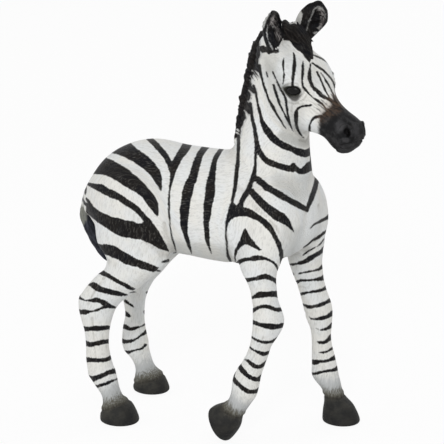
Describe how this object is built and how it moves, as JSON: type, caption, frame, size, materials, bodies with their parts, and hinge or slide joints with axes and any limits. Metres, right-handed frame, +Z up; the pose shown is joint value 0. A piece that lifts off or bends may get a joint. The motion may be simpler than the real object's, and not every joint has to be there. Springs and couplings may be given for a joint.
{
  "type": "toy zebra foal figure",
  "caption": "Moulded toy zebra foal in a walking pose, head turned to its right, with an upright mane, hollow ears, a tufted tail and a forefoot resting on its toe.",
  "frame": {"origin": "on the ground below the middle of the figure's box", "axes": "+X towards the head, +Y to the animal's left, +Z up"},
  "size_m": [0.064, 0.0276, 0.0845],
  "materials": {
    "coat": "painted white with near-black stripes, grey pasterns and dark hooves, fine hair texture, satin",
    "hair": "painted black with white tufts at the foot, combed hair texture",
    "ear": "painted black at the rim, with a white line and a grey hollow",
    "tail_hair": "painted white with black rings at the dock and a black tuft, combed hair texture"
  },
  "bodies": {
    "root": {"trunk": "coat", "neck": "coat", "head": "coat", "mane": "hair", "ear_left": "ear", "ear_right": "ear", "tail": "tail_hair", "foreleg_left": "coat", "foreleg_right": "coat", "hind_leg_left": "coat", "hind_leg_right": "coat"}
  },
  "joints": []
}
